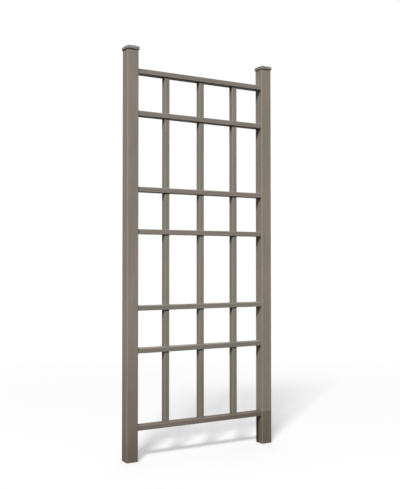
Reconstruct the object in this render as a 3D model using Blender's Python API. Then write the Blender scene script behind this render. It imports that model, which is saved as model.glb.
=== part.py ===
# Garden trellis of hollow vinyl extrusions: two square posts, seven rails and three upright bars.
# Metres, +Z up. The origin is on the ground, midway between the feet, and the front faces -Y.
import math

import bmesh
import bpy
from mathutils import Matrix, Vector

# The whole frame
TRELLIS_WIDTH = 0.7112      # outer face to outer face of the two posts
LEG_LENGTH = 0.134          # ground to the bottom rail's centre line
LONG_PITCH = 0.3146         # rail centre to rail centre across a tall cell
SHORT_PITCH = 0.1746        # rail centre to rail centre across a short cell
CELL_PAIRS = 3              # a tall cell with a short cell above it, this many times
BAR_PITCH = 0.1675          # bar centre to bar centre
FIT = 0.0003                # gap left between two pieces that touch
INNER_CORNER = 0.001        # inside corner radius of every extrusion

# Post extrusion
POST_WIDTH = 0.0508
POST_WALL = 0.0023
POST_CORNER = 0.0032        # outer corner radius

# Post cap
CAP_ABOVE_RAIL = 0.087      # top rail's centre line to the lower edge of the cap's skirt
CAP_OVERHANG = 0.0035       # skirt beyond the post's faces
CAP_SKIRT = 0.0102          # height of the skirt's upright sides
CAP_SEAT = 0.0085           # how far the post's end goes up between the skirt and the plug
CAP_RISE = 0.006            # height of the sloped sides
CAP_SLOPE_INSET = 0.01      # how far the sloped sides lean in
CAP_WALL = 0.0022
CAP_CORNER = 0.004          # corner radius seen from above
CAP_TOP_EDGE = 0.004        # rounding where the slopes meet the top
CAP_SKIRT_EDGE = 0.003      # rounding of the skirt's upper edge
CAP_UNDER_EDGE = 0.0006     # rounding of the skirt's lower edge
PLUG_DEPTH = 0.016          # cap's plug, from the skirt's lower edge down inside the post
PLUG_CORNER = 0.0018        # corner radius of what fills the post's hollow
PLUG_LEAD = 0.0012          # rounding at the plug's lower end

# Rail extrusion
RAIL_SETBACK = 0.00635      # post face to rail face, front and back
RAIL_HEIGHT = 0.0206
RAIL_WALL = 0.0018
RAIL_CORNER = 0.002
RAIL_END_MARGIN = 0.0034    # rail end to the stake inside the post

# Bar extrusion
BAR_SETBACK = 0.005         # rail face to bar face, front and back
BAR_WIDTH = 0.0222
BAR_WALL = 0.0016
BAR_CORNER = 0.002
BAR_HEADROOM = 0.003        # left above the bars inside the top rail, so that the vinyl can grow

# Rail screws, through the back of each post
SCREW_SHANK = 0.0042
SCREW_BITE = 0.0055         # from the inside of the rail's wall to the screw's end
SCREW_POINT = 0.003
SCREW_POINT_FLAT = 0.0008
SCREW_HEAD = 0.008
SCREW_HEAD_HEIGHT = 0.0026
SCREW_HEAD_EDGE = 0.0009    # upright edge of the pan head
SCREW_HEAD_LAND = 0.0005    # flat ring round the drive's corners
SCREW_DRIVE = 0.0034        # across the square recess
SCREW_DRIVE_DEPTH = 0.0015

# Ground stakes and the bushings that centre them
STAKE_DIAMETER = 0.01905
STAKE_WALL = 0.0016
STAKE_LENGTH = 0.6
STAKE_TIP = 0.03            # length of the point
STAKE_TIP_FLAT = 0.004      # across the blunt end of the point
STAKE_LIFT = 0.0005         # ground to the point, with the stake drawn in
STAKE_CLEARANCE = 0.0005
BUSHING_HEIGHT = 0.022
BUSHING_FLOOR = 0.0025
BUSHING_RIM = 0.002
BUSHING_HUB_WALL = 0.0024
BUSHING_WEB = 0.0018
BUSHING_ABOVE_RAIL = 0.106  # bottom rail's centre line to the upper bushing's floor

# Facets and cutters
CORNER_STEPS = 3
WINDOW_STEPS = 2
EDGE_STEPS = 3
DOME_STEPS = 2
HUB_STEPS = 5
STAKE_SIDES = 24
SCREW_SIDES = 12
OVERRUN = 0.001             # how far a cutter runs past the wall that it opens
SHARP_ANGLE = math.radians(32)

# Sizes that follow from those above
RAIL_DEPTH = POST_WIDTH - 2 * RAIL_SETBACK
BAR_DEPTH = RAIL_DEPTH - 2 * BAR_SETBACK
POST_HOLLOW = POST_WIDTH - 2 * POST_WALL
POST_X = (TRELLIS_WIDTH - POST_WIDTH) / 2
RAIL_END_X = POST_X - STAKE_DIAMETER / 2 - RAIL_END_MARGIN
SCREW_X = (POST_X - POST_HOLLOW / 2 + RAIL_END_X) / 2
PLUG_WIDTH = POST_HOLLOW - 2 * FIT
GROOVE_WIDTH = POST_WIDTH + 2 * FIT     # between the inner faces of the cap's skirt

# Turns that lay a body built along Z along another axis
ALONG_X = Matrix(((0, 0, 1), (1, 0, 0), (0, 1, 0))).to_4x4()
ALONG_Y = Matrix(((1, 0, 0), (0, 0, 1), (0, -1, 0))).to_4x4()


def rail_levels():
    # Heights of the rails' centre lines, from the bottom rail up
    levels = [LEG_LENGTH]
    for _ in range(CELL_PAIRS):
        levels.append(levels[-1] + LONG_PITCH)
        levels.append(levels[-1] + SHORT_PITCH)
    return levels


def rail_name(index, count):
    if index == 0:
        return "bottom_rail"
    if index == count - 1:
        return "top_rail"
    return f"rail_{index + 1}"


# Outlines, as lists of (x, y)

def rounded_rectangle(width, depth, radius, steps):
    outline = []
    for quarter, (side_x, side_y) in enumerate(((1, 1), (-1, 1), (-1, -1), (1, -1))):
        centre_x = side_x * (width / 2 - radius)
        centre_y = side_y * (depth / 2 - radius)
        for step in range(steps + 1):
            angle = math.pi / 2 * (quarter + step / steps)
            outline.append((centre_x + radius * math.cos(angle), centre_y + radius * math.sin(angle)))
    return outline


def circle_angles(sides):
    return [2 * math.pi * (side + 0.5) / sides for side in range(sides)]


def circle(radius, sides):
    return [(radius * math.cos(a), radius * math.sin(a)) for a in circle_angles(sides)]


def square_of_points(width, sides):
    # A square with as many points as the circle round it
    outline = []
    for angle in circle_angles(sides):
        reach = width / 2 / max(abs(math.cos(angle)), abs(math.sin(angle)))
        outline.append((reach * math.cos(angle), reach * math.sin(angle)))
    return outline


def rounded_profile(corners):
    # Corners are (half width, height, rounding), and each rounding becomes an arc
    points = [Vector(corner[:2]) for corner in corners]
    profile = []
    for index, (half, height, rounding) in enumerate(corners):
        if rounding == 0:
            profile.append((half, height))
            continue
        point = points[index]
        back = (points[index - 1] - point).normalized()
        ahead = (points[index + 1] - point).normalized()
        half_angle = back.angle(ahead) / 2
        run = rounding / math.tan(half_angle)
        centre = point + (back + ahead).normalized() * rounding / math.sin(half_angle)
        start = (point + back * run - centre).normalized()
        end = (point + ahead * run - centre).normalized()
        for step in range(EDGE_STEPS + 1):
            profile.append(tuple(centre + start.slerp(end, step / EDGE_STEPS) * rounding))
    return profile


# Closed bodies, built along Z into a bmesh

def ring(outline, height):
    return [Vector((x, y, height)) for x, y in outline]


def add_body(body, rings, place=None, open_ended=False):
    # Skins a stack of rings. An open-ended stack joins its last ring to its first, as a tube does.
    place = place or Matrix()
    loops = [[body.verts.new(place @ point) for point in points] for points in rings]
    count = len(loops[0])
    following = loops[1:] + loops[:1] if open_ended else loops[1:]
    for lower, upper in zip(loops, following):
        for i in range(count):
            j = (i + 1) % count
            body.faces.new((lower[i], lower[j], upper[j], upper[i]))
    if not open_ended:
        body.faces.new(loops[0])
        body.faces.new(loops[-1])


def add_prism(body, outline, low, high, place=None):
    add_body(body, [ring(outline, low), ring(outline, high)], place)


def add_tube(body, outer, inner, low, high):
    rings = [ring(outer, low), ring(outer, high), ring(inner, high), ring(inner, low)]
    add_body(body, rings, open_ended=True)


def to_mesh(body, name):
    bmesh.ops.recalc_face_normals(body, faces=body.faces)
    mesh = bpy.data.meshes.new(name)
    body.to_mesh(mesh)
    body.free()
    mesh.shade_smooth()
    mesh.set_sharp_from_angle(angle=SHARP_ANGLE)
    mesh.materials.append(None)
    return mesh


def extrusion_mesh(name, width, depth, wall, corner, length):
    body = bmesh.new()
    outer = rounded_rectangle(width, depth, corner, CORNER_STEPS)
    inner = rounded_rectangle(width - 2 * wall, depth - 2 * wall, INNER_CORNER, CORNER_STEPS)
    add_tube(body, outer, inner, 0, length)
    return to_mesh(body, name)


def cap_corner(half):
    # Corner radius, seen from above, of the cap's outline with this half width
    if half > GROOVE_WIDTH / 2:
        return CAP_CORNER
    if half == GROOVE_WIDTH / 2:
        return POST_CORNER + FIT
    return PLUG_CORNER


def cap_mesh():
    # The post's end stands in the groove between skirt and plug.
    # Origin on the cap's axis, level with the skirt's lower edge.
    skirt = POST_WIDTH / 2 + CAP_OVERHANG
    groove = GROOVE_WIDTH / 2
    top = CAP_SKIRT + CAP_RISE
    plug = PLUG_WIDTH / 2
    hollow = plug - CAP_WALL
    lean = CAP_SLOPE_INSET / CAP_RISE
    wall_across = CAP_WALL * math.hypot(1, lean)
    slope_inside = skirt - wall_across
    ceiling = top - CAP_WALL
    knee = CAP_SKIRT + (slope_inside - hollow) / lean
    profile = rounded_profile([
        (0, top, 0),
        (skirt - CAP_SLOPE_INSET, top, CAP_TOP_EDGE),
        (skirt, CAP_SKIRT, CAP_SKIRT_EDGE),
        (skirt, 0, CAP_UNDER_EDGE),
        (groove, 0, 0),
        (groove, CAP_SEAT, 0),
        (plug, CAP_SEAT, 0),
        (plug, -PLUG_DEPTH, PLUG_LEAD),
        (hollow, -PLUG_DEPTH, 0),
        (hollow, knee, 0),
        (slope_inside - lean * (ceiling - CAP_SKIRT), ceiling, 0),
    ])[1:]
    rings = []
    for half, height in profile:
        outline = rounded_rectangle(2 * half, 2 * half, cap_corner(half), CORNER_STEPS)
        rings.append(ring(outline, height))
    body = bmesh.new()
    add_body(body, rings)
    return to_mesh(body, "cap")


def screw_mesh():
    # Pan head above z = 0, shank and point below it. The origin is under the head.
    bottom = SCREW_HEAD_HEIGHT - SCREW_DRIVE_DEPTH
    land = SCREW_DRIVE / math.sqrt(2) + SCREW_HEAD_LAND
    head = SCREW_HEAD / 2
    dome = SCREW_HEAD_HEIGHT - SCREW_HEAD_EDGE
    shank_length = POST_WALL + (POST_HOLLOW - RAIL_DEPTH) / 2 + RAIL_WALL + SCREW_BITE
    drive = square_of_points(SCREW_DRIVE, SCREW_SIDES)
    rings = [ring(drive, bottom), ring(drive, SCREW_HEAD_HEIGHT)]
    for step in range(DOME_STEPS + 1):
        angle = math.pi / 2 * step / DOME_STEPS
        radius = land + (head - land) * math.sin(angle)
        rings.append(ring(circle(radius, SCREW_SIDES), SCREW_HEAD_EDGE + dome * math.cos(angle)))
    rings.append(ring(circle(head, SCREW_SIDES), 0))
    rings.append(ring(circle(SCREW_SHANK / 2, SCREW_SIDES), 0))
    rings.append(ring(circle(SCREW_SHANK / 2, SCREW_SIDES), SCREW_POINT - shank_length))
    rings.append(ring(circle(SCREW_POINT_FLAT / 2, SCREW_SIDES), -shank_length))
    body = bmesh.new()
    add_body(body, rings)
    return to_mesh(body, "rail_screw")


def stake_mesh():
    # Tube with a closed point. Origin at the point, on the axis that the stake slides along.
    radius = STAKE_DIAMETER / 2
    bore = radius - STAKE_WALL
    body = bmesh.new()
    add_body(body, [
        ring(circle(STAKE_TIP_FLAT / 2, STAKE_SIDES), 0),
        ring(circle(radius, STAKE_SIDES), STAKE_TIP),
        ring(circle(radius, STAKE_SIDES), STAKE_LENGTH),
        ring(circle(bore, STAKE_SIDES), STAKE_LENGTH),
        ring(circle(bore, STAKE_SIDES), STAKE_TIP + STAKE_WALL),
    ])
    return to_mesh(body, "stake")


def bushing_pocket(hub):
    # The space between the hub, the rim and two diagonal webs
    web = BUSHING_WEB / math.sqrt(2)
    rim = PLUG_WIDTH / 2 - BUSHING_RIM
    x = (web + math.sqrt(2 * hub ** 2 - web ** 2)) / 2
    spread = math.atan2(x - web, x)
    arc = [spread * (1 - 2 * step / HUB_STEPS) for step in range(HUB_STEPS + 1)]
    outline = [(hub * math.cos(a), hub * math.sin(a)) for a in arc]
    return outline + [(rim, web - rim), (rim, rim - web)]


def bushing_mesh():
    # Moulded square plug with a round hub, a rim, diagonal webs and a floor. Origin under its floor.
    bore = STAKE_DIAMETER / 2 + STAKE_CLEARANCE
    pocket = bushing_pocket(bore + BUSHING_HUB_WALL)
    block = bmesh.new()
    add_prism(block, rounded_rectangle(PLUG_WIDTH, PLUG_WIDTH, PLUG_CORNER, CORNER_STEPS), 0, BUSHING_HEIGHT)
    hollows = bmesh.new()
    add_prism(hollows, circle(bore, STAKE_SIDES), -OVERRUN, BUSHING_HEIGHT + OVERRUN)
    for quarter in range(4):
        turn = Matrix.Rotation(math.pi / 2 * quarter, 4, "Z")
        add_prism(hollows, pocket, BUSHING_FLOOR, BUSHING_HEIGHT + OVERRUN, turn)
    cutter = place_cutter("bushing_hollows", hollows)
    moulding = bpy.data.objects.new("bushing", to_mesh(block, "bushing_block"))
    bpy.context.collection.objects.link(moulding)
    cut(moulding, cutter)
    cut_object = moulding.evaluated_get(bpy.context.evaluated_depsgraph_get())
    mesh = bpy.data.meshes.new_from_object(cut_object)
    mesh.name = "bushing"
    bpy.data.objects.remove(moulding)
    bpy.data.objects.remove(cutter)
    return mesh


# Cutters, each in one object

def rail_pockets():
    # Opens the inner face of each post for the rails' ends
    outline = rounded_rectangle(RAIL_DEPTH + 2 * FIT, RAIL_HEIGHT + 2 * FIT, RAIL_CORNER + FIT, WINDOW_STEPS)
    body = bmesh.new()
    for level in rail_levels():
        add_prism(body, outline, -RAIL_END_X, RAIL_END_X, Matrix.Translation((0, 0, level)) @ ALONG_X)
    return place_cutter("rail_pockets", body)


def bar_windows():
    # Opens the rails for the bars: every wall between the hollows of the bottom rail and the top rail
    levels = rail_levels()
    outline = rounded_rectangle(BAR_WIDTH + 2 * FIT, BAR_DEPTH + 2 * FIT, BAR_CORNER + FIT, WINDOW_STEPS)
    body = bmesh.new()
    for x in bar_places().values():
        add_prism(body, outline, levels[0], levels[-1], Matrix.Translation((x, 0, 0)))
    return place_cutter("bar_windows", body)


def screw_holes():
    # Opens the back of each post and of each rail's end
    outline = circle(SCREW_SHANK / 2 + FIT, SCREW_SIDES)
    inside = RAIL_DEPTH / 2 - RAIL_WALL - OVERRUN
    outside = POST_WIDTH / 2 + OVERRUN
    body = bmesh.new()
    for side in (-1, 1):
        for level in rail_levels():
            place = Matrix.Translation((side * SCREW_X, 0, level)) @ ALONG_Y
            add_prism(body, outline, inside, outside, place)
    return place_cutter("screw_holes", body)


# Materials

VINYL = ((131, 125, 112), 0.55, 0.0)
BUSHING_PLASTIC = ((44, 42, 40), 0.6, 0.0)
COATED_STEEL = ((112, 104, 92), 0.45, 0.6)
GALVANISED_STEEL = ((168, 170, 170), 0.42, 1.0)


def linear(level):
    level /= 255
    return level / 12.92 if level <= 0.04045 else ((level + 0.055) / 1.055) ** 2.4


def surface_for(name, finish):
    colour, roughness, metallic = finish
    surface = bpy.data.materials.new(name)
    surface.use_nodes = True
    base = tuple(linear(level) for level in colour) + (1,)
    surface.diffuse_color = base
    shader = surface.node_tree.nodes["Principled BSDF"]
    shader.inputs["Base Color"].default_value = base
    shader.inputs["Roughness"].default_value = roughness
    shader.inputs["Metallic"].default_value = metallic
    return surface


# Objects

def place_cutter(name, body):
    cutter = bpy.data.objects.new(name, to_mesh(body, name))
    bpy.context.collection.objects.link(cutter)
    cutter.hide_render = True
    cutter.display_type = "WIRE"
    return cutter


def cut(piece, cutter):
    boolean = piece.modifiers.new(cutter.name, "BOOLEAN")
    boolean.operation = "DIFFERENCE"
    boolean.solver = "EXACT"
    boolean.object = cutter


def place_piece(name, mesh, finish, location, frame, turn=None):
    piece = bpy.data.objects.new(name, mesh)
    bpy.context.collection.objects.link(piece)
    piece.parent = frame
    piece.location = location
    if turn:
        piece.rotation_euler = turn.to_euler()
    slot = piece.material_slots[0]
    slot.link = "OBJECT"
    slot.material = surface_for(name + "_surface", finish)
    return piece


def bar_places():
    return {"left_bar": -BAR_PITCH, "middle_bar": 0.0, "right_bar": BAR_PITCH}


def build_posts(frame, pockets, holes):
    cap_height = rail_levels()[-1] + CAP_ABOVE_RAIL
    post_length = cap_height + CAP_SEAT - FIT
    post = extrusion_mesh("post", POST_WIDTH, POST_WIDTH, POST_WALL, POST_CORNER, post_length)
    cap = cap_mesh()
    for side, x in (("left", -POST_X), ("right", POST_X)):
        piece = place_piece(side + "_post", post, VINYL, (x, 0, 0), frame)
        cut(piece, pockets)
        cut(piece, holes)
        place_piece(side + "_post_cap", cap, VINYL, (x, 0, cap_height), frame)


def build_rails(frame, windows, holes):
    levels = rail_levels()
    rail = extrusion_mesh("rail", RAIL_DEPTH, RAIL_HEIGHT, RAIL_WALL, RAIL_CORNER, 2 * RAIL_END_X)
    for index, level in enumerate(levels):
        name = rail_name(index, len(levels))
        piece = place_piece(name, rail, VINYL, (-RAIL_END_X, 0, level), frame, ALONG_X)
        cut(piece, windows)
        cut(piece, holes)


def build_bars(frame):
    levels = rail_levels()
    low = levels[0] - RAIL_HEIGHT / 2 + RAIL_WALL + FIT
    high = levels[-1] + RAIL_HEIGHT / 2 - RAIL_WALL - BAR_HEADROOM
    bar = extrusion_mesh("bar", BAR_WIDTH, BAR_DEPTH, BAR_WALL, BAR_CORNER, high - low)
    for name, x in bar_places().items():
        place_piece(name, bar, VINYL, (x, 0, low), frame)


def build_screws(frame):
    screw = screw_mesh()
    seat = POST_WIDTH / 2 + FIT
    for side, x in (("left", -SCREW_X), ("right", SCREW_X)):
        for index, level in enumerate(rail_levels()):
            name = f"{side}_rail_screw_{index + 1}"
            place_piece(name, screw, COATED_STEEL, (x, seat, level), frame, ALONG_Y)


def build_stakes(frame):
    stake = stake_mesh()
    bushing = bushing_mesh()
    upper = LEG_LENGTH + BUSHING_ABOVE_RAIL
    for side, x in (("left", -POST_X), ("right", POST_X)):
        place_piece(side + "_stake", stake, GALVANISED_STEEL, (x, 0, STAKE_LIFT), frame)
        place_piece(side + "_foot_bushing", bushing, BUSHING_PLASTIC, (x, 0, 0), frame)
        place_piece(side + "_upper_bushing", bushing, BUSHING_PLASTIC, (x, 0, upper), frame)


def main():
    for leftover in list(bpy.data.objects):
        bpy.data.objects.remove(leftover)
    frame = bpy.data.objects.new("trellis", None)
    bpy.context.collection.objects.link(frame)
    holes = screw_holes()
    build_posts(frame, rail_pockets(), holes)
    build_rails(frame, bar_windows(), holes)
    build_bars(frame)
    build_screws(frame)
    build_stakes(frame)


main()
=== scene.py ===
import math

import bmesh
import bpy
from mathutils import Matrix, Vector


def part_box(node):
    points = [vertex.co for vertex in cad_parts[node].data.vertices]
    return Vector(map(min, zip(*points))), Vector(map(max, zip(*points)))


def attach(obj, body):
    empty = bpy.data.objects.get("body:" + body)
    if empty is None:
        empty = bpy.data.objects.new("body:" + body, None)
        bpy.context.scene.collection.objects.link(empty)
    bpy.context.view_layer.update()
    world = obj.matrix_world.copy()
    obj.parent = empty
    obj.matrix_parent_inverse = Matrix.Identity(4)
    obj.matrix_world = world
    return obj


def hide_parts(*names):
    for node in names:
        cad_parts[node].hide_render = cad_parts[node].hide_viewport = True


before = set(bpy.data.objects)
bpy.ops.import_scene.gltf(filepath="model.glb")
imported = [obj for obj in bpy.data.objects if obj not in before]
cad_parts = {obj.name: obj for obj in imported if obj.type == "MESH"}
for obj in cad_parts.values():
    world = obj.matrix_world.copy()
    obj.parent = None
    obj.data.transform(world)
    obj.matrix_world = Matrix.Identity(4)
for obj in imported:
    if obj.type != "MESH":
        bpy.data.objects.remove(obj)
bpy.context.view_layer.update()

mm = 0.001
frameBody = "trellis_frame"
sides = ("left", "right")
barNames = ("left_bar", "middle_bar", "right_bar")
railNames = ["bottom_rail"] + [f"rail_{number}" for number in range(2, 7)] + ["top_rail"]

# what every routed and drilled opening shares
fitting = {
    "gap": 0.3 * mm,            # air left round a piece in its opening
    "overrun": 1.0 * mm,        # how far a cutter passes the wall it opens
    "cornerSteps": 5,
    "easeAbove": 50,            # degrees at an edge before it is eased
}


# Camera, at the photograph's place

viewPoint = {
    "place": (-1.596, -2.802, 0.8105),
    "yaw": 29.65,               # degrees from +Y towards +X
    "pitch": 1.385,             # degrees upwards
    "lens": 54.91,
    "sensor": 36.0,
}


def placeCamera():
    lens = bpy.data.cameras.new("view")
    lens.lens = viewPoint["lens"]
    lens.sensor_width = viewPoint["sensor"]
    camera = bpy.data.objects.new("view", lens)
    camera.location = viewPoint["place"]
    pitch = math.radians(90 + viewPoint["pitch"])
    camera.rotation_euler = (pitch, 0, -math.radians(viewPoint["yaw"]))
    bpy.context.scene.collection.objects.link(camera)
    bpy.context.scene.camera = camera


# Small helpers for node trees

def addNode(tree, kind, inputs=None, **settings):
    made = tree.nodes.new(kind)
    for name, value in settings.items():
        setattr(made, name, value)
    for socket, value in (inputs or {}).items():
        if isinstance(value, bpy.types.NodeSocket):
            tree.links.new(value, made.inputs[socket])
        else:
            made.inputs[socket].default_value = value
    return made


def calculate(tree, operation, first, second=0.0, third=0.0, clamp=False):
    inputs = {0: first, 1: second, 2: third}
    return addNode(tree, "ShaderNodeMath", inputs, operation=operation, use_clamp=clamp).outputs[0]


def spread(tree, value, low, high, toLow=0.0, toHigh=1.0):
    # a smooth ramp from toLow to toHigh as value goes from low to high
    inputs = {"Value": value, "From Min": low, "From Max": high, "To Min": toLow, "To Max": toHigh}
    return addNode(tree, "ShaderNodeMapRange", inputs, interpolation_type="SMOOTHSTEP").outputs[0]


def mixTones(tree, amount, first, second, blend="MIX"):
    inputs = {0: amount, 6: first, 7: second}
    return addNode(tree, "ShaderNodeMix", inputs, data_type="RGBA", blend_type=blend).outputs[2]


def grain(tree, place, stretch, detail=2.0, roughness=0.5, offset=(0, 0, 0)):
    # noise whose blotches are 1 / stretch metres long along each axis
    mapped = addNode(tree, "ShaderNodeMapping", {"Vector": place, "Scale": stretch, "Location": offset})
    inputs = {"Vector": mapped.outputs[0], "Scale": 1.0, "Detail": detail, "Roughness": roughness}
    return addNode(tree, "ShaderNodeTexNoise", inputs).outputs[0]


def raised(tree, height, depth, over=None):
    # bump of that depth in metres, laid over an earlier one
    inputs = {"Height": height, "Strength": 1.0, "Distance": depth}
    if over:
        inputs["Normal"] = over
    return addNode(tree, "ShaderNodeBump", inputs).outputs[0]


def tone(red, green, blue):
    # a colour as read from a screen, 0 to 255, as Blender's linear values
    levels = []
    for level in (red, green, blue):
        level /= 255
        levels.append(level / 12.92 if level <= 0.04045 else ((level + 0.055) / 1.055) ** 2.4)
    return (*levels, 1.0)


def newFinish(name):
    finish = bpy.data.materials.new(name)
    finish.use_nodes = True
    tree = finish.node_tree
    return finish, tree, tree.nodes["Principled BSDF"]


# Studio: overcast light from above, one broad lamp, a pale floor

studio = {
    "zenith": 0.56,             # sky straight above
    "horizon": 0.17,            # sky at eye level
    "below": 0.03,
    "fill": 3.4,                # low glow in the sky behind on the right, for the shaded sides
    "fillFrom": (0.7, 0.7, 0.0),
    "fillEdge": 0.3,            # how nearly a direction faces it before it shows
    "fillTop": 0.6,             # height in the sky where it ends
    "lampPlace": (-11.4, -12.6, 17.6),
    "lampAim": (0.0, 0.0, 0.8),
    "lampSize": 4.4,
    "lampPower": 7200.0,
    "floorRadius": 30.0,
    "floorSides": 96,
    "floorTone": (0.72, 0.72, 0.72, 1.0),       # as the camera sees it
    "floorBounce": (0.075, 0.05, 0.032, 1.0),   # as the trellis sees it
    "floorGlow": 0.35,          # how much of it is plain white at the feet, to soften the shadow
    "fadeFrom": 0.8,            # from here to there it fades to all white
    "fadeTo": 3.5,
}


def seenDirectly(tree):
    # camera, glossy and transmission rays show the white surroundings
    path = addNode(tree, "ShaderNodeLightPath")
    seen = calculate(tree, "MAXIMUM", path.outputs["Is Camera Ray"], path.outputs["Is Glossy Ray"])
    return calculate(tree, "MAXIMUM", seen, path.outputs["Is Transmission Ray"])


def lightStudio():
    world = bpy.data.worlds.new("overcast")
    bpy.context.scene.world = world
    world.use_nodes = True
    tree = world.node_tree
    place = addNode(tree, "ShaderNodeTexCoord").outputs["Generated"]
    height = addNode(tree, "ShaderNodeSeparateXYZ", {0: place}).outputs["Z"]
    above = spread(tree, height, 0.0, 1.0, studio["horizon"], studio["zenith"])
    towards = {0: place, 1: studio["fillFrom"]}
    facing = addNode(tree, "ShaderNodeVectorMath", towards, operation="DOT_PRODUCT").outputs["Value"]
    fill = spread(tree, facing, studio["fillEdge"], 1.0, 0.0, studio["fill"])
    fill = calculate(tree, "MULTIPLY", fill, spread(tree, height, 0.0, studio["fillTop"], 1.0, 0.0))
    above = calculate(tree, "ADD", above, fill)
    under = calculate(tree, "LESS_THAN", height, 0.0)
    strength = addNode(tree, "ShaderNodeMix", {0: under, 2: above, 3: studio["below"]}).outputs[0]
    strength = addNode(tree, "ShaderNodeMix", {0: seenDirectly(tree), 2: strength, 3: 1.0}).outputs[0]
    sky = tree.nodes["Background"]
    sky.inputs["Color"].default_value = (1, 1, 1, 1)
    tree.links.new(strength, sky.inputs["Strength"])

    light = bpy.data.lights.new("broadLamp", "AREA")
    light.energy = studio["lampPower"]
    light.size = studio["lampSize"]
    lamp = bpy.data.objects.new("broadLamp", light)
    lamp.location = studio["lampPlace"]
    aim = Vector(studio["lampAim"]) - lamp.location
    lamp.rotation_euler = aim.to_track_quat("-Z", "Y").to_euler()
    bpy.context.scene.collection.objects.link(lamp)


def layFloor():
    sheet = bmesh.new()
    rim = {"radius": studio["floorRadius"], "segments": studio["floorSides"]}
    bmesh.ops.create_circle(sheet, cap_ends=True, **rim)
    mesh = bpy.data.meshes.new("floor")
    sheet.to_mesh(mesh)
    sheet.free()
    floor = bpy.data.objects.new("floor", mesh)
    bpy.context.scene.collection.objects.link(floor)
    finish, tree, plain = newFinish("paleFloor")
    tree.nodes.remove(plain)
    seen = seenDirectly(tree)
    albedo = mixTones(tree, seen, studio["floorBounce"], studio["floorTone"])
    matt = addNode(tree, "ShaderNodeBsdfDiffuse", {"Color": albedo})
    place = addNode(tree, "ShaderNodeTexCoord").outputs["Object"]
    away = addNode(tree, "ShaderNodeVectorMath", {0: place}, operation="LENGTH").outputs["Value"]
    fade = spread(tree, away, studio["fadeFrom"], studio["fadeTo"], studio["floorGlow"], 1.0)
    white = addNode(tree, "ShaderNodeEmission")
    fade = calculate(tree, "MULTIPLY", fade, seen)
    top = addNode(tree, "ShaderNodeMixShader", {0: fade, 1: matt.outputs[0], 2: white.outputs[0]})
    clear = addNode(tree, "ShaderNodeBsdfTransparent")
    # seen from beneath it is clear, so that the drawn-out stakes show from below
    beneath = addNode(tree, "ShaderNodeNewGeometry").outputs["Backfacing"]
    both = addNode(tree, "ShaderNodeMixShader", {0: beneath, 1: top.outputs[0], 2: clear.outputs[0]})
    tree.links.new(both.outputs[0], tree.nodes["Material Output"].inputs["Surface"])
    mesh.materials.append(finish)


# Finishes

vinyl = {
    "mottleScale": (16, 5),             # grains per metre, across and along the extrusion
    "streakScale": (150, 3),
    "lineScale": (1300, 5),
    "waveScale": (24, 7),
    "blotchScale": (22, 22, 14),
    "poreScale": (2600, 2600, 2600),
    "streakShade": (0.93, 1.06),
    "lineShade": (0.96, 1.03),
    "lowShade": tone(110, 101, 89),       # painted shade, darker towards the bottom
    "lowShadeAmount": 0.65,
    "lowShadeWobble": 0.1,
    "soil": tone(84, 74, 64),           # damp soil round the feet
    "soilAmount": 0.42,
    "soilWobble": 0.05,
    "soilFrom": 0.04,
    "soilTo": 0.15,
    "tideLine": 0.147,                  # the right leg and the rail beside it stood in soil up to here
    "tideBlur": 5 * mm,
    "tideWobble": 6 * mm,
    "tideAmount": 0.52,
    "tideFrom": -0.1,                   # it sets in along the width, from here to there
    "tideTo": 0.28,
    "shadeTone": tone(48, 41, 34),           # painted shade on undersides, and painted shadow at the back of the right leg
    "legShadowFrom": 4 * mm,                 # from about here backwards the leg gets a painted shadow
    "legShadowTo": 19 * mm,
    "legShadowWobble": 16 * mm,
    "legShadowAmount": 1.9,
    "legShadowOutside": 0.3,                 # share of it on the leg's outer and back faces
    "legShadowFacing": (0.3, 0.9),
    "undersides": (-0.95, -0.4),        # full painted shade to none, by how far a face looks down
    "corner": tone(164, 155, 143),      # rubbed pale, and a painted highlight on the corners
    "cornerTurn": (0.01, 0.28),         # how far the smoothed normal leans where it sets in and is full
    "cornerAmount": (0.35, 0.75),       # it comes and goes with the streaks
    "cornerUnderSoil": 0.8,             # how much of it soil hides
    "paleCornerReach": 7 * mm,                   # how far from a corner the wear and the painted highlight show
    "mudFrom": 0.16,                    # mud lies on what faces up below here
    "mudTo": 0.24,
    "mudAmount": 0.62,
    "mudFacing": (0.3, 0.8),
    "dust": tone(157, 152, 145),
    "dustAmount": 0.25,
    "dustFacing": (0.35, 0.95),
    "dustRoughness": 0.4,
    "spotsPerMetre": 170.0,             # dried raindrops
    "spotEdge": (0.16, 0.3),            # share of their spacing
    "spotAmount": 0.28,
    "rubScale": (9, 9, 1400.0),         # fine marks across the grain, from garden ties
    "rubAmount": 0.22,
    # painted shade in joints and creases, from ambient occlusion
    "creviceShade": tone(62, 56, 49),
    "creviceShadeReach": 6 * mm,
    "creviceShadeAmount": 0.2,
    "roughness": (0.59, 0.71),
    "specular": 0.15,
    "waveDepth": 0.35 * mm,
    "lineDepth": 0.03 * mm,
    "poreDepth": 0.015 * mm,
}


def drawn(along, across, length):
    # grains per metre: length on the axis that the die drew, across on the others
    return [length if axis == along else across for axis in range(3)]


def ragged(tree, value, blotches, reach):
    # shifts a height up or down by up to reach, as the blotches go
    shifted = calculate(tree, "ADD", value, reach)
    return calculate(tree, "MULTIPLY_ADD", blotches, -2 * reach, shifted)


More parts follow.
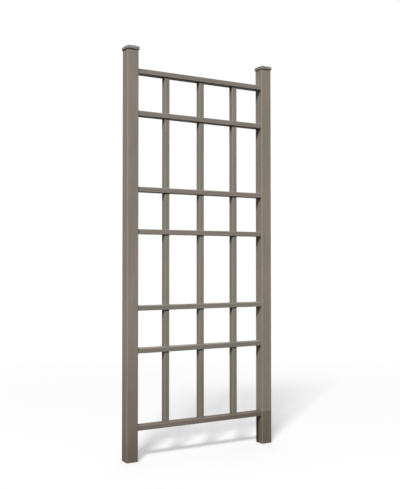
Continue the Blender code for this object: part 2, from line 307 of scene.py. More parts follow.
def readSurface(tree, along):
    # what the layers share: place, direction and grains
    place = addNode(tree, "ShaderNodeTexCoord").outputs["Object"]
    normal = addNode(tree, "ShaderNodeNewGeometry").outputs["Normal"]
    return {
        "place": place,
        "where": addNode(tree, "ShaderNodeSeparateXYZ", {0: place}).outputs,
        "turned": addNode(tree, "ShaderNodeSeparateXYZ", {0: normal}).outputs,
        "mottle": grain(tree, place, drawn(along, *vinyl["mottleScale"]), 3.0, 0.55),
        "streaks": grain(tree, place, drawn(along, *vinyl["streakScale"]), 3.0, 0.6, (3.1, 1.7, 0.4)),
        "dieLines": grain(tree, place, drawn(along, *vinyl["lineScale"]), 2.0),
        "blotches": grain(tree, place, vinyl["blotchScale"], 4.0, 0.6, (0.3, 5.2, 2.2)),
    }


def bareSkin(tree, surface, look):
    # two tones that come and go, under streaks and die lines
    share = spread(tree, surface["mottle"], 0.36, 0.64)
    colour = mixTones(tree, share, look["cool"], look["warm"])
    streaks = spread(tree, surface["streaks"], 0.3, 0.7, *vinyl["streakShade"])
    dieLines = spread(tree, surface["dieLines"], 0.25, 0.75, *vinyl["lineShade"])
    shade = calculate(tree, "MULTIPLY", streaks, dieLines)
    shade = addNode(tree, "ShaderNodeCombineColor", {0: shade, 1: shade, 2: shade}).outputs[0]
    return mixTones(tree, 1.0, colour, shade, "MULTIPLY")


def soilAndLowShade(tree, colour, surface, look):
    # painted shade low on the legs, fading with height
    where = surface["where"]
    turned = surface["turned"]
    blotches = surface["blotches"]
    # painted shade, darker towards the bottom and reaching higher on the left
    slanted = calculate(tree, "MULTIPLY_ADD", where["X"], look["lowShadeSlant"], where["Z"])
    slanted = ragged(tree, slanted, blotches, vinyl["lowShadeWobble"])
    lowShade = spread(tree, slanted, 0.0, look["lowShadeTo"], vinyl["lowShadeAmount"], 0.0)
    colour = mixTones(tree, lowShade, colour, vinyl["lowShade"])
    height = ragged(tree, where["Z"], blotches, vinyl["soilWobble"])
    soil = spread(tree, height, vinyl["soilFrom"], vinyl["soilTo"], vinyl["soilAmount"], 0.0)

    # a tide line of soil on the right, with a painted shadow towards the back
    height = ragged(tree, where["Z"], blotches, vinyl["tideWobble"])
    line = vinyl["tideLine"]
    tide = spread(tree, height, line - vinyl["tideBlur"], line, vinyl["tideAmount"], 0.0)
    tide = calculate(tree, "MULTIPLY", tide, spread(tree, where["X"], vinyl["tideFrom"], vinyl["tideTo"]))
    soiled = calculate(tree, "MAXIMUM", soil, tide)
    colour = mixTones(tree, soiled, colour, vinyl["soil"])
    # painted shadow down the back of the right leg, within the tide line
    backwards = calculate(tree, "MULTIPLY_ADD", blotches, vinyl["legShadowWobble"], where["Y"])
    shadeTone = spread(tree, backwards, vinyl["legShadowFrom"], vinyl["legShadowTo"], 0.0, vinyl["legShadowAmount"])
    outward = calculate(tree, "MAXIMUM", turned["X"], turned["Y"])
    kept = spread(tree, outward, *vinyl["legShadowFacing"], 1.0, vinyl["legShadowOutside"])
    shadeTone = calculate(tree, "MULTIPLY", shadeTone, kept)
    shadeTone = calculate(tree, "MULTIPLY", tide, shadeTone, clamp=True)
    return mixTones(tree, shadeTone, colour, vinyl["shadeTone"]), soiled, tide


def wornAndLitCorners(tree, colour, surface, along, soiled):
    # corners are paler, worn and with a painted highlight: near them the smoothed normal turns away from
    # every axis
    smoothed = addNode(tree, "ShaderNodeBevel", {"Radius": vinyl["paleCornerReach"]}, samples=6)
    leaning = addNode(tree, "ShaderNodeVectorMath", {0: smoothed.outputs[0]}, operation="ABSOLUTE")
    facing = addNode(tree, "ShaderNodeSeparateXYZ", {0: leaning.outputs[0]}).outputs
    if along is None:
        corner = calculate(tree, "MINIMUM", facing["X"], facing["Y"])
    else:
        widest = calculate(tree, "MAXIMUM", facing["X"], facing["Y"])
        widest = calculate(tree, "MAXIMUM", widest, facing["Z"])
        corner = calculate(tree, "SUBTRACT", 1.0, widest)
    corner = spread(tree, corner, *vinyl["cornerTurn"])
    amount = spread(tree, surface["streaks"], 0.3, 0.6, *vinyl["cornerAmount"])
    corner = calculate(tree, "MULTIPLY", corner, amount)
    clean = calculate(tree, "MULTIPLY_ADD", soiled, -vinyl["cornerUnderSoil"], 1.0)
    corner = calculate(tree, "MULTIPLY", corner, clean)
    return mixTones(tree, corner, colour, vinyl["corner"])


def dustMudAndUnderShade(tree, colour, surface, look, tide):
    # dust lies on what faces up, mud low down, and what faces down gets painted shade
    upward = surface["turned"]["Z"]
    # painted shade on what faces down
    below = spread(tree, upward, *vinyl["undersides"], look["undersideShade"], 0.0)
    colour = mixTones(tree, below, colour, vinyl["shadeTone"])
    mud = spread(tree, surface["where"]["Z"], vinyl["mudFrom"], vinyl["mudTo"], vinyl["mudAmount"], 0.0)
    mud = calculate(tree, "MULTIPLY", mud, spread(tree, upward, *vinyl["mudFacing"]))
    colour = mixTones(tree, mud, colour, vinyl["soil"])
    most = calculate(tree, "SUBTRACT", vinyl["dustAmount"], mud, clamp=True)
    dust = calculate(tree, "MULTIPLY", spread(tree, upward, *vinyl["dustFacing"]), most)
    dust = calculate(tree, "MULTIPLY", dust, spread(tree, surface["blotches"], 0.3, 0.65, 0.3, 1.0))
    dust = calculate(tree, "MULTIPLY", dust, spread(tree, tide, 0.0, 0.5, 1.0, 0.2))
    return mixTones(tree, dust, colour, vinyl["dust"]), dust


def markSkin(tree, colour, surface):
    # dried raindrops, rubs where ties have lain, and painted shade in the joints
    place = surface["place"]
    drops = addNode(tree, "ShaderNodeTexVoronoi", {"Vector": place, "Scale": vinyl["spotsPerMetre"]})
    drops = spread(tree, drops.outputs["Distance"], *vinyl["spotEdge"], vinyl["spotAmount"], 0.0)
    drops = calculate(tree, "MULTIPLY", drops, spread(tree, surface["blotches"], 0.48, 0.62))
    colour = mixTones(tree, drops, colour, vinyl["dust"])
    rubs = grain(tree, place, vinyl["rubScale"], 1.0, 0.5, (7.7, 0.2, 1.3))
    rubs = spread(tree, rubs, 0.62, 0.72, 0.0, vinyl["rubAmount"])
    rubs = calculate(tree, "MULTIPLY", rubs, spread(tree, surface["mottle"], 0.5, 0.6))
    colour = mixTones(tree, rubs, colour, vinyl["corner"])
    # painted shade where surfaces close in
    near = addNode(tree, "ShaderNodeAmbientOcclusion", {"Distance": vinyl["creviceShadeReach"]}, samples=8)
    creviceShade = spread(tree, near.outputs["AO"], 0.25, 0.75, vinyl["creviceShadeAmount"], 0.0)
    return mixTones(tree, creviceShade, colour, vinyl["creviceShade"])


def vinylFinish(name, along, look):
    # along is the axis that the die drew the skin, or None on a moulding, and look the piece's own values
    finish, tree, shader = newFinish(name)
    surface = readSurface(tree, along)
    colour = bareSkin(tree, surface, look)
    colour, soiled, tide = soilAndLowShade(tree, colour, surface, look)
    colour = wornAndLitCorners(tree, colour, surface, along, soiled)
    colour, dust = dustMudAndUnderShade(tree, colour, surface, look, tide)
    colour = markSkin(tree, colour, surface)
    tree.links.new(colour, shader.inputs["Base Color"])

    rough = spread(tree, surface["streaks"], 0.3, 0.7, *vinyl["roughness"])
    dusty = calculate(tree, "MULTIPLY", dust, vinyl["dustRoughness"])
    tree.links.new(calculate(tree, "ADD", rough, dusty, clamp=True), shader.inputs["Roughness"])
    shader.inputs["Specular IOR Level"].default_value = vinyl["specular"]

    waves = grain(tree, surface["place"], drawn(along, *vinyl["waveScale"]), 1.0)
    relief = raised(tree, waves, vinyl["waveDepth"])
    relief = raised(tree, surface["dieLines"], vinyl["lineDepth"], relief)
    pores = grain(tree, surface["place"], vinyl["poreScale"], 2.0)
    relief = raised(tree, pores, vinyl["poreDepth"], relief)
    tree.links.new(relief, shader.inputs["Normal"])
    return finish


galvanised = {
    "bright": tone(186, 188, 189),
    "dull": tone(142, 145, 147),
    "spanglesPerMetre": 130.0,
    "spangleShare": 0.65,               # against the drawn lines
    "drawnScale": (900, 900, 8),
    "soil": tone(104, 92, 78),
    "soilScale": (60, 60, 24),
    "soilFrom": 0.12,                   # heights with the stake drawn in
    "soilTo": 0.34,
    "soilWobble": 0.2,
    "soilAmount": 0.75,
    "soilRoughness": 0.35,
    "roughness": (0.34, 0.5),
    "depth": 0.03 * mm,
}


def galvanisedFinish():
    finish, tree, shader = newFinish("galvanised_steel")
    place = addNode(tree, "ShaderNodeTexCoord").outputs["Object"]
    inputs = {"Vector": place, "Scale": galvanised["spanglesPerMetre"]}
    cells = addNode(tree, "ShaderNodeTexVoronoi", inputs)
    spangle = addNode(tree, "ShaderNodeSeparateColor", {0: cells.outputs["Color"]}).outputs[0]
    lines = grain(tree, place, galvanised["drawnScale"], 2.0)
    lines = calculate(tree, "MULTIPLY", lines, 1 - galvanised["spangleShare"])
    blend = calculate(tree, "MULTIPLY_ADD", spangle, galvanised["spangleShare"], lines)
    colour = mixTones(tree, blend, galvanised["dull"], galvanised["bright"])
    height = addNode(tree, "ShaderNodeSeparateXYZ", {0: place}).outputs["Z"]
    blotches = grain(tree, place, galvanised["soilScale"], 4.0, 0.65)
    edge = calculate(tree, "MULTIPLY_ADD", blotches, galvanised["soilWobble"], height)
    stain = spread(tree, edge, galvanised["soilFrom"], galvanised["soilTo"], galvanised["soilAmount"], 0.0)
    stain = calculate(tree, "MULTIPLY", stain, spread(tree, blotches, 0.35, 0.6))
    colour = mixTones(tree, stain, colour, galvanised["soil"])
    tree.links.new(colour, shader.inputs["Base Color"])
    tree.links.new(calculate(tree, "SUBTRACT", 1.0, stain), shader.inputs["Metallic"])
    rough = spread(tree, blend, 0.2, 0.8, *galvanised["roughness"])
    rough = calculate(tree, "MULTIPLY_ADD", stain, galvanised["soilRoughness"], rough)
    tree.links.new(rough, shader.inputs["Roughness"])
    tree.links.new(raised(tree, blend, galvanised["depth"]), shader.inputs["Normal"])
    return finish


screwCoat = {
    "light": tone(136, 127, 114),
    "dark": tone(118, 108, 95),
    "steel": tone(176, 174, 168),       # where the head's edges are worn through
    "wornFrom": 0.53,                   # pointiness
    "wornTo": 0.6,
    "speckScale": (1400, 1400, 1400),
    "roughness": (0.38, 0.52),
    "depth": 0.02 * mm,
}


def coatedFinish():
    # tan paint over steel
    finish, tree, shader = newFinish("coated_screw_steel")
    place = addNode(tree, "ShaderNodeTexCoord").outputs["Object"]
    specks = grain(tree, place, screwCoat["speckScale"], 3.0, 0.6)
    coat = mixTones(tree, spread(tree, specks, 0.35, 0.65), screwCoat["dark"], screwCoat["light"])
    pointiness = addNode(tree, "ShaderNodeNewGeometry").outputs["Pointiness"]
    worn = spread(tree, pointiness, screwCoat["wornFrom"], screwCoat["wornTo"])
    worn = calculate(tree, "MULTIPLY", worn, spread(tree, specks, 0.35, 0.55))
    tree.links.new(mixTones(tree, worn, coat, screwCoat["steel"]), shader.inputs["Base Color"])
    tree.links.new(worn, shader.inputs["Metallic"])
    tree.links.new(spread(tree, specks, 0.3, 0.7, *screwCoat["roughness"]), shader.inputs["Roughness"])
    tree.links.new(raised(tree, specks, screwCoat["depth"]), shader.inputs["Normal"])
    return finish


nylon = {
    "light": tone(54, 51, 48),
    "dark": tone(40, 38, 36),
    "soil": tone(88, 76, 62),
    "soilReach": 4 * mm,                # into the corners
    "soilAmount": 0.5,
    "flowScale": (45, 45, 45),
    "textureScale": (2200, 2200, 2200),
    "roughness": (0.5, 0.64),
    "depth": 0.03 * mm,
}


def mouldedFinish():
    # dark, with a fine spark-eroded texture
    finish, tree, shader = newFinish("bushing_nylon")
    place = addNode(tree, "ShaderNodeTexCoord").outputs["Object"]
    flow = grain(tree, place, nylon["flowScale"], 3.0)
    colour = mixTones(tree, spread(tree, flow, 0.3, 0.7), nylon["dark"], nylon["light"])
    near = addNode(tree, "ShaderNodeAmbientOcclusion", {"Distance": nylon["soilReach"]}, samples=8)
    soil = spread(tree, near.outputs["AO"], 0.2, 0.8, nylon["soilAmount"], 0.0)
    tree.links.new(mixTones(tree, soil, colour, nylon["soil"]), shader.inputs["Base Color"])
    texture = grain(tree, place, nylon["textureScale"], 2.0)
    tree.links.new(spread(tree, texture, 0.3, 0.7, *nylon["roughness"]), shader.inputs["Roughness"])
    tree.links.new(raised(tree, texture, nylon["depth"]), shader.inputs["Normal"])
    return finish


# Outlines and bodies

# turns that lay what is built along Z along another axis
alongX = Matrix(((0, 0, 1), (1, 0, 0), (0, 1, 0))).to_4x4()
alongY = Matrix(((1, 0, 0), (0, 0, 1), (0, -1, 0))).to_4x4()


def roundedOutline(width, depth, corner, cornerSteps, flatSteps=1, sink=0.0):
    # anticlockwise, each flat split in flatSteps and sunk a little in its middle, as a cooled extrusion is
    outline = []
    for quarter, (sideX, sideY) in enumerate(((1, 1), (-1, 1), (-1, -1), (1, -1))):
        centre = Vector((sideX * (width / 2 - corner), sideY * (depth / 2 - corner)))
        for step in range(cornerSteps + 1):
            angle = math.pi / 2 * (quarter + step / cornerSteps)
            outline.append(centre + corner * Vector((math.cos(angle), math.sin(angle))))
        flat = (width if quarter % 2 == 0 else depth) - 2 * corner
        start = outline[-1]
        ahead = Vector((-math.sin(angle), math.cos(angle)))
        inward = -Vector((math.cos(angle), math.sin(angle)))
        for step in range(1, flatSteps):
            share = step / flatSteps
            outline.append(start + ahead * flat * share + inward * sink * math.sin(math.pi * share) ** 2)
    return outline


def roundOutline(radius, steps):
    angles = [2 * math.pi * (step + 0.5) / steps for step in range(steps)]
    return [Vector((radius * math.cos(a), radius * math.sin(a))) for a in angles]


def level(outline, height):
    return [Vector((x, y, height)) for x, y in outline]


def skin(shape, rings, place=None, tube=False):
    # joins a stack of rings. A tube's last ring joins its first, and any other stack is closed by two caps.
    place = place or Matrix()
    loops = [[shape.verts.new(place @ point) for point in ring] for ring in rings]
    following = loops[1:] + loops[:1] if tube else loops[1:]
    for lower, upper in zip(loops, following):
        for i in range(len(lower)):
            j = (i + 1) % len(lower)
            shape.faces.new((lower[i], lower[j], upper[j], upper[i]))
    if not tube:
        shape.faces.new(loops[0])
        shape.faces.new(loops[-1])


def asObject(name, shape, smoothBelow=34):
    bmesh.ops.recalc_face_normals(shape, faces=shape.faces)
    mesh = bpy.data.meshes.new(name)
    shape.to_mesh(mesh)
    shape.free()
    mesh.shade_smooth()
    mesh.set_sharp_from_angle(angle=math.radians(smoothBelow))
    made = bpy.data.objects.new(name, mesh)
    bpy.context.scene.collection.objects.link(made)
    return made


def settle(piece):
    # applies the modifiers
    graph = bpy.context.evaluated_depsgraph_get()
    mesh = bpy.data.meshes.new_from_object(piece.evaluated_get(graph))
    piece.modifiers.clear()
    piece.data = mesh


def rout(piece, cutter):
    cut = piece.modifiers.new("routed", "BOOLEAN")
    cut.operation = "DIFFERENCE"
    cut.solver = "EXACT"
    cut.object = cutter
    settle(piece)


def easeEdges(piece, width, steps=2, smoothBelow=34):
    ease = piece.modifiers.new("eased", "BEVEL")
    ease.width = width
    ease.segments = steps
    ease.limit_method = "ANGLE"
    ease.angle_limit = math.radians(fitting["easeAbove"])
    settle(piece)
    piece.data.shade_smooth()
    piece.data.set_sharp_from_angle(angle=math.radians(smoothBelow))


def evenShading(piece):
    shading = piece.modifiers.new("evenShading", "WEIGHTED_NORMAL")
    shading.keep_sharp = True


def dress(piece, node, finish, body=frameBody):
    piece.data.materials.clear()
    piece.data.materials.append(finish)
    evenShading(piece)
    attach(piece, body)
    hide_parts(node)


def middle(node):
    low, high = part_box(node)
    return (low + high) / 2


def extrude(name, width, depth, sizes, length, place):
    steps = (sizes["cornerSteps"], sizes["flatSteps"])
    outer = roundedOutline(width, depth, sizes["corner"], *steps, sizes["sink"])
    wall = 2 * sizes["wall"]
    inner = roundedOutline(width - wall, depth - wall, sizes["innerCorner"], *steps)
    shape = bmesh.new()
    rings = [level(outer, 0), level(outer, length), level(inner, length), level(inner, 0)]
    skin(shape, rings, place, tube=True)
    return asObject(name, shape)


# Posts

post = {
    "warm": tone(140, 129, 119),
    "cool": tone(131, 126, 114),
    "lowShadeTo": 0.42,           # height where the painted shade towards the bottom ends
    "lowShadeSlant": 0.5,         # how much higher the painted shade reaches on the left
    "undersideShade": 0.95,          # how much painted shade what faces down gets
    "wall": 2.3 * mm,
    "corner": 3.2 * mm,
    "innerCorner": 1.0 * mm,
    "cornerSteps": 8,
    "flatSteps": 8,
    "sink": 0.12 * mm,
    "easedEdge": 0.25 * mm,
}


def screwNodes(side):
    return [f"{side}_rail_screw_{number + 1}" for number in range(len(railNames))]


def addScrewHole(shape, node):
    # through the back of the post and of the rail's end
    centre = middle(node)
    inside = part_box(railNames[0])[1].y - rail["wall"] - fitting["overrun"]
    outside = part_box("left_post")[1].y + fitting["overrun"]
    outline = roundOutline(railScrew["shank"] / 2 + fitting["gap"], railScrew["sides"])
    place = Matrix.Translation((centre.x, 0, centre.z)) @ alongY
    skin(shape, [level(outline, inside), level(outline, outside)], place)


def openingOutline(width, depth, corner):
    gap = fitting["gap"]
    return roundedOutline(width + 2 * gap, depth + 2 * gap, corner + gap, fitting["cornerSteps"])


def makePosts(finish):
    for side in sides:
        node = side + "_post"
        low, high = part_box(node)
        size = high - low
        place = Matrix.Translation(((low.x + high.x) / 2, 0, low.z))
        piece = extrude(node + "_extrusion", size.x, size.y, post, size.z, place)
        cutters = bmesh.new()
        for name, screw in zip(railNames, screwNodes(side)):
            railLow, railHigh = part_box(name)
            outline = openingOutline(railHigh.y - railLow.y, railHigh.z - railLow.z, rail["corner"])
            ends = (railLow.x, high.x + fitting["overrun"])
            if side == "right":
                ends = (low.x - fitting["overrun"], railHigh.x)
            across = Matrix.Translation((0, 0, middle(name).z)) @ alongX
            skin(cutters, [level(outline, ends[0]), level(outline, ends[1])], across)
            addScrewHole(cutters, screw)
        cutter = asObject("routerBit", cutters)
        rout(piece, cutter)
        bpy.data.objects.remove(cutter)
        easeEdges(piece, post["easedEdge"])
        dress(piece, node, finish)


# Rails and bars

rail = {
    "warm": tone(133, 125, 118),
    "cool": tone(124, 122, 114),
    # painted shade: where the darkening towards the bottom ends, its slant, and how much lies on what faces
    # down
    "lowShadeTo": 0.62,
    "lowShadeSlant": 0.15,
    "undersideShade": 0.95,
    "wall": 1.8 * mm,
    "corner": 2.0 * mm,
    "innerCorner": 1.0 * mm,
    "cornerSteps": 8,
    "flatSteps": 6,
    "sink": 0.06 * mm,
    "easedEdge": 0.2 * mm,
}

bar = {
    "warm": tone(134, 126, 117),
    "cool": tone(126, 124, 113),
    # painted shade: where the darkening towards the bottom ends, its slant, and how much lies on what faces
    # down
    "lowShadeTo": 0.66,
    "lowShadeSlant": 0.1,
    "undersideShade": 0.95,
    "wall": 1.6 * mm,
    "corner": 2.0 * mm,
    "innerCorner": 1.0 * mm,
    "cornerSteps": 8,
    "flatSteps": 6,
    "sink": 0.05 * mm,
    "easedEdge": 0.2 * mm,
}


def makeRails(finish):
    for name, screwPair in zip(railNames, zip(*(screwNodes(side) for side in sides))):
        low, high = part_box(name)
        size = high - low
        place = Matrix.Translation((low.x, 0, (low.z + high.z) / 2)) @ alongX
        piece = extrude(name + "_extrusion", size.y, size.z, rail, size.x, place)
        cutters = bmesh.new()
        for barName in barNames:
            barLow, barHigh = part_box(barName)
            outline = openingOutline(barHigh.x - barLow.x, barHigh.y - barLow.y, bar["corner"])
            centre = (low.z + high.z) / 2
            bottom = centre if barLow.z > low.z else low.z - fitting["overrun"]
            top = centre if barHigh.z < high.z else high.z + fitting["overrun"]
            upright = Matrix.Translation((middle(barName).x, 0, 0))
            skin(cutters, [level(outline, bottom), level(outline, top)], upright)
        for screw in screwPair:
            addScrewHole(cutters, screw)
        cutter = asObject("routerBit", cutters)
        rout(piece, cutter)
        bpy.data.objects.remove(cutter)
        easeEdges(piece, rail["easedEdge"])
        dress(piece, name, finish)


def makeBars(finish):
    for name in barNames:
        low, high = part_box(name)
        size = high - low
        place = Matrix.Translation((middle(name).x, 0, low.z))
        piece = extrude(name + "_extrusion", size.x, size.y, bar, size.z, place)
        easeEdges(piece, bar["easedEdge"])
        dress(piece, name, finish)


# Post caps

cap = {
    "warm": tone(140, 132, 128),
    "cool": tone(131, 128, 123),
    # painted shade: where the darkening towards the bottom ends, its slant, and how much lies on what faces
    # down
    "lowShadeTo": 0.42,
    "lowShadeSlant": 0.0,
    "undersideShade": 0.15,
    "skirt": 12.8 * mm,         # height of the upright sides
    "slopeInset": 10.0 * mm,
    "wall": 2.2 * mm,
    "plugDepth": 13.4 * mm,     # below the skirt's lower edge
    "corner": 4.0 * mm,         # seen from above
    "plugCorner": 1.8 * mm,
    "roundestCorner": 0.7,      # of the crown's small outlines, as a share of their half width
    "crown": 0.5 * mm,          # rise of the top from its edge to its middle
    "crownSteps": 6,
    "topEdge": 5.0 * mm,
    "skirtEdge": 3.0 * mm,
    "underEdge": 3.0 * mm,
    "leadIn": 1.2 * mm,
    "edgeSteps": 7,
    "cornerSteps": 9,
    "flatSteps": 6,
}


def roundedProfile(corners, steps):
    # corners are (half width, height, rounding), and each rounding becomes an arc
    points = [Vector(corner[:2]) for corner in corners]
    profile = []
    for index, (half, height, rounding) in enumerate(corners):
        if rounding == 0:
            profile.append((half, height))
            continue
        point = points[index]
        back = (points[index - 1] - point).normalized()
        ahead = (points[index + 1] - point).normalized()
        halfAngle = back.angle(ahead) / 2
        run = rounding / math.tan(halfAngle)
        centre = point + (back + ahead).normalized() * rounding / math.sin(halfAngle)
        start = (point + back * run - centre).normalized()
        end = (point + ahead * run - centre).normalized()
        for step in range(steps + 1):
            profile.append(tuple(centre + start.slerp(end, step / steps) * rounding))
    return profile


def crownAndSkirt(skirtHalf, rise):
    # from the middle of the crown over the slopes and down to the skirt's lower edge
    top = rise - cap["crown"]
    outside = roundedProfile([
        (0, rise, 0),
        (skirtHalf - cap["slopeInset"], top, cap["topEdge"]),
        (skirtHalf, cap["skirt"], cap["skirtEdge"]),
        (skirtHalf, 0, cap["underEdge"]),
        (0, 0, 0),
    ], cap["edgeSteps"])[1:-1]
    edgeHalf, edgeHeight = outside[0]
    crown = []
    for step in range(1, cap["crownSteps"] + 1):
        share = step / (cap["crownSteps"] + 1)
        crown.append((edgeHalf * share, rise - (rise - edgeHeight) * share ** 2))
    return crown + outside


def plugAndCeiling(skirtHalf, plugHalf, seat, rise):
    # from the groove's bottom down the plug, and up inside it to the ceiling
    top = rise - cap["crown"]
    lean = cap["slopeInset"] / (top - cap["skirt"])
    hollow = plugHalf - cap["wall"]
    slopeInside = skirtHalf - cap["wall"] * math.hypot(1, lean)
    ceiling = top - cap["wall"]
    return roundedProfile([
        (plugHalf, seat, 0),
        (plugHalf, -cap["plugDepth"], cap["leadIn"]),
        (hollow, -cap["plugDepth"], 0),
        (hollow, cap["skirt"] + (slopeInside - hollow) / lean, 0),
        (slopeInside - lean * (ceiling - cap["skirt"]), ceiling, 0),
    ], cap["edgeSteps"])


def makeCaps(finish):
    for side in sides:
        node = side + "_post_cap"
        low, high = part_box(node)
        postLow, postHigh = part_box(side + "_post")
        underSkirt = low.z + cap["plugDepth"]
        rise = high.z - underSkirt
        seat = postHigh.z + fitting["gap"] - underSkirt
        postHalf = (postHigh.x - postLow.x) / 2
        plugHalf = postHalf - post["wall"] - fitting["gap"]
        skirtHalf = (high.x - low.x) / 2
        groove = postHalf + fitting["gap"]
        outlines = []
        for half, height in crownAndSkirt(skirtHalf, rise):
            outlines.append((half, height, min(cap["corner"], half * cap["roundestCorner"])))
        for height in (0, seat):
            outlines.append((groove, height, post["corner"] + fitting["gap"]))
        for half, height in plugAndCeiling(skirtHalf, plugHalf, seat, rise):
            outlines.append((half, height, cap["plugCorner"]))
        rings = []
        for half, height, corner in outlines:
            outline = roundedOutline(2 * half, 2 * half, corner, cap["cornerSteps"], cap["flatSteps"])
            rings.append(level(outline, height))
        shape = bmesh.new()
        skin(shape, rings, Matrix.Translation((middle(node).x, 0, underSkirt)))
        piece = asObject(node + "_moulding", shape)
        dress(piece, node, finish)


# Rail screws

railScrew = {
    "shank": 4.2 * mm,
    "root": 3.1 * mm,           # across the bottom of the thread
    "threadPitch": 1.8 * mm,
    "threadWidth": 0.5,         # at the root, as a share of the pitch
    "threadFrom": 2.6 * mm,     # plain shank under the head
    "rowsPerTurn": 8,
    "pointLength": 3.0 * mm,
    "pointFlat": 0.8 * mm,
    "headEdge": 0.9 * mm,
    "drive": 3.4 * mm,          # across the square recess
    "driveDepth": 1.5 * mm,
    "driveTaper": 0.15 * mm,
    "land": 0.5 * mm,
    "sides": 32,
    "domeSteps": 7,
}


def squareOutline(width, steps):
    outline = []
    for step in range(steps):
        angle = 2 * math.pi * (step + 0.5) / steps
        reach = width / 2 / max(abs(math.cos(angle)), abs(math.sin(angle)))
        outline.append(Vector((reach * math.cos(angle), reach * math.sin(angle))))
    return outline


def threadRings(length):
    # the helix: every row's radius swells where the thread crosses it
    count = railScrew["sides"]
    root = railScrew["root"] / 2
    crest = railScrew["shank"] / 2
    pitch = railScrew["threadPitch"]
    rows = round((length - railScrew["threadFrom"]) / pitch * railScrew["rowsPerTurn"])
    rings = []
    for row in range(rows + 1):
        depth = railScrew["threadFrom"] + (length - railScrew["threadFrom"]) * row / rows
        toPoint = (length - depth) / railScrew["pointLength"]
        taper = min(1.0, toPoint)
        fadeIn = min(1.0, (depth - railScrew["threadFrom"]) / pitch)
        ring = []
        for step in range(count):
            turn = (step + 0.5) / count
            phase = (depth / pitch + turn) % 1
            ridge = max(0.0, 1 - abs(phase - 0.5) * 2 / railScrew["threadWidth"]) * fadeIn
            radius = (root + (crest - root) * ridge) * taper
            radius = max(radius, railScrew["pointFlat"] / 2)
            angle = 2 * math.pi * turn
            ring.append(Vector((radius * math.cos(angle), radius * math.sin(angle), -depth)))
        rings.append(ring)
    return rings


def screwRings(headHalf, headHeight, length):
    count = railScrew["sides"]
    driveFloor = headHeight - railScrew["driveDepth"]
    land = railScrew["drive"] / math.sqrt(2) + railScrew["land"]
    edge = railScrew["headEdge"]
    rings = [
        level(squareOutline(railScrew["drive"] - 2 * railScrew["driveTaper"], count), driveFloor),
        level(squareOutline(railScrew["drive"], count), headHeight),
    ]
    for step in range(railScrew["domeSteps"] + 1):
        angle = math.pi / 2 * step / railScrew["domeSteps"]
        radius = land + (headHalf - land) * math.sin(angle)
        rings.append(level(roundOutline(radius, count), edge + (headHeight - edge) * math.cos(angle)))
    rings.append(level(roundOutline(headHalf, count), 0))
    rings.append(level(roundOutline(railScrew["root"] / 2, count), 0))
    return rings + threadRings(length)


def makeScrews(finish):
    for side in sides:
        for node in screwNodes(side):
            low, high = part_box(node)
            centre = (low + high) / 2
            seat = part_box(side + "_post")[1].y + fitting["gap"]
            rings = screwRings((high.x - low.x) / 2, high.y - seat, seat - low.y)
            shape = bmesh.new()
            skin(shape, rings, Matrix.Translation((centre.x, seat, centre.z)) @ alongY)
            piece = asObject(node + "_threaded", shape, smoothBelow=40)
            dress(piece, node, finish)


# Ground stakes

stake = {
    "wall": 1.6 * mm,
    "tipLength": 30.0 * mm,
    "tipFlat": 4.0 * mm,
    "flutes": 4,
    "flute": 0.42,              # how deep they are swaged, as a share of the radius
    "fluteStart": 0.12,         # how far into their curve they are at the tip
    "flutePower": 0.8,
    "tipRings": 22,
    "sides": 64,
    "rimEase": 0.4 * mm,
    "rimSteps": 4,
}


def stakeRings(radius, length):
    tip = stake["tipLength"]
    rings = []
    for row in range(stake["tipRings"] + 1):
        share = row / stake["tipRings"]
        outer = stake["tipFlat"] / 2 + (radius - stake["tipFlat"] / 2) * share
        onward = min(1.0, stake["fluteStart"] + (1 - stake["fluteStart"]) * share)
        depth = stake["flute"] * math.sin(math.pi * onward) ** stake["flutePower"]
        ring = []
        for step in range(stake["sides"]):
            angle = 2 * math.pi * (step + 0.5) / stake["sides"]
            reach = outer * (1 - depth * (0.5 - 0.5 * math.cos(stake["flutes"] * angle)))
            ring.append(Vector((reach * math.cos(angle), reach * math.sin(angle), tip * share)))
        rings.append(ring)
    bore = radius - stake["wall"]
    ease = stake["rimEase"]
    for step in range(stake["rimSteps"] + 1):
        angle = math.pi / 2 * step / stake["rimSteps"]
        rim = roundOutline(radius - ease + ease * math.cos(angle), stake["sides"])
        rings.append(level(rim, length - ease + ease * math.sin(angle)))
    for step in range(stake["rimSteps"] + 1):
        angle = math.pi / 2 * (1 - step / stake["rimSteps"])
        rim = roundOutline(bore + ease - ease * math.cos(angle), stake["sides"])
        rings.append(level(rim, length - ease + ease * math.sin(angle)))
    rings.append(level(roundOutline(bore, stake["sides"]), tip + stake["wall"]))
    return rings


def makeStakes(finish):
    for side in sides:
        node = side + "_stake"
        low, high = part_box(node)
        shape = bmesh.new()
        place = Matrix.Translation((middle(node).x, 0, low.z))
        skin(shape, stakeRings((high.x - low.x) / 2, high.z - low.z), place)
        piece = asObject(node + "_tube", shape)
        dress(piece, node, finish, side + "_ground_stake")


# Bushings

bushing = {
    "floor": 2.5 * mm,
    "rim": 2.0 * mm,
    "hubWall": 2.4 * mm,
    "web": 1.8 * mm,
    "boreGap": 0.5 * mm,        # round the stake
    "corner": 1.8 * mm,
    "cornerSteps": 6,
    "hubSteps": 12,
    "boreSides": 64,
    "easedEdge": 0.25 * mm,
}


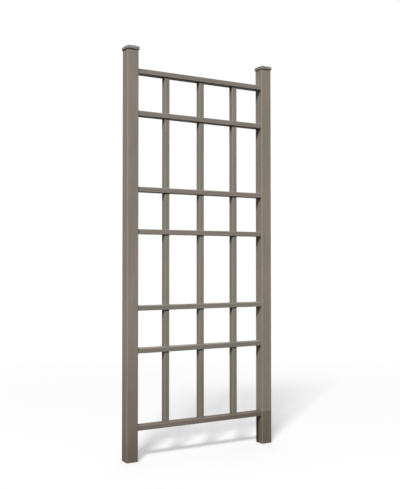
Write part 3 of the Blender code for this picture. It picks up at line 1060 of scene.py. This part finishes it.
def webPocket(hub, half):
    # the space between the hub, the rim and two diagonal webs
    web = bushing["web"] / math.sqrt(2)
    rim = half - bushing["rim"]
    x = (web + math.sqrt(2 * hub ** 2 - web ** 2)) / 2
    swing = math.atan2(x - web, x)
    turns = [swing * (1 - 2 * step / bushing["hubSteps"]) for step in range(bushing["hubSteps"] + 1)]
    outline = [Vector((hub * math.cos(a), hub * math.sin(a))) for a in turns]
    return outline + [Vector((rim, web - rim)), Vector((rim, rim - web))]


def makeBushings(finish):
    overrun = fitting["overrun"]
    for side in sides:
        stakeLow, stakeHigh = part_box(side + "_stake")
        bore = (stakeHigh.x - stakeLow.x) / 2 + bushing["boreGap"]
        for spot in ("foot", "upper"):
            node = f"{side}_{spot}_bushing"
            low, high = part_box(node)
            half = (high.x - low.x) / 2
            height = high.z - low.z
            place = Matrix.Translation((middle(node).x, 0, low.z))
            block = bmesh.new()
            outline = roundedOutline(2 * half, 2 * half, bushing["corner"], bushing["cornerSteps"])
            skin(block, [level(outline, 0), level(outline, height)], place)
            piece = asObject(node + "_moulding", block)
            hollows = bmesh.new()
            outline = roundOutline(bore, bushing["boreSides"])
            skin(hollows, [level(outline, -overrun), level(outline, height + overrun)], place)
            pocket = webPocket(bore + bushing["hubWall"], half)
            for quarter in range(4):
                turn = place @ Matrix.Rotation(math.pi / 2 * quarter, 4, "Z")
                skin(hollows, [level(pocket, bushing["floor"]), level(pocket, height + overrun)], turn)
            cutter = asObject("coreBlock", hollows)
            rout(piece, cutter)
            bpy.data.objects.remove(cutter)
            easeEdges(piece, bushing["easedEdge"])
            dress(piece, node, finish)


placeCamera()
lightStudio()
layFloor()
print("studio: camera, light and floor")

makePosts(vinylFinish("post_skin", 2, post))
print("posts: two extrusions with seven pockets each")
makeCaps(vinylFinish("cap_skin", None, cap))
print("caps: two mouldings")
makeRails(vinylFinish("rail_skin", 0, rail))
makeBars(vinylFinish("bar_skin", 2, bar))
print("lattice: seven rails and three bars")
makeScrews(coatedFinish())
makeStakes(galvanisedFinish())
makeBushings(mouldedFinish())
print("hidden pieces: screws, ground stakes and bushings")

bpy.context.scene.view_settings.view_transform = "Standard"
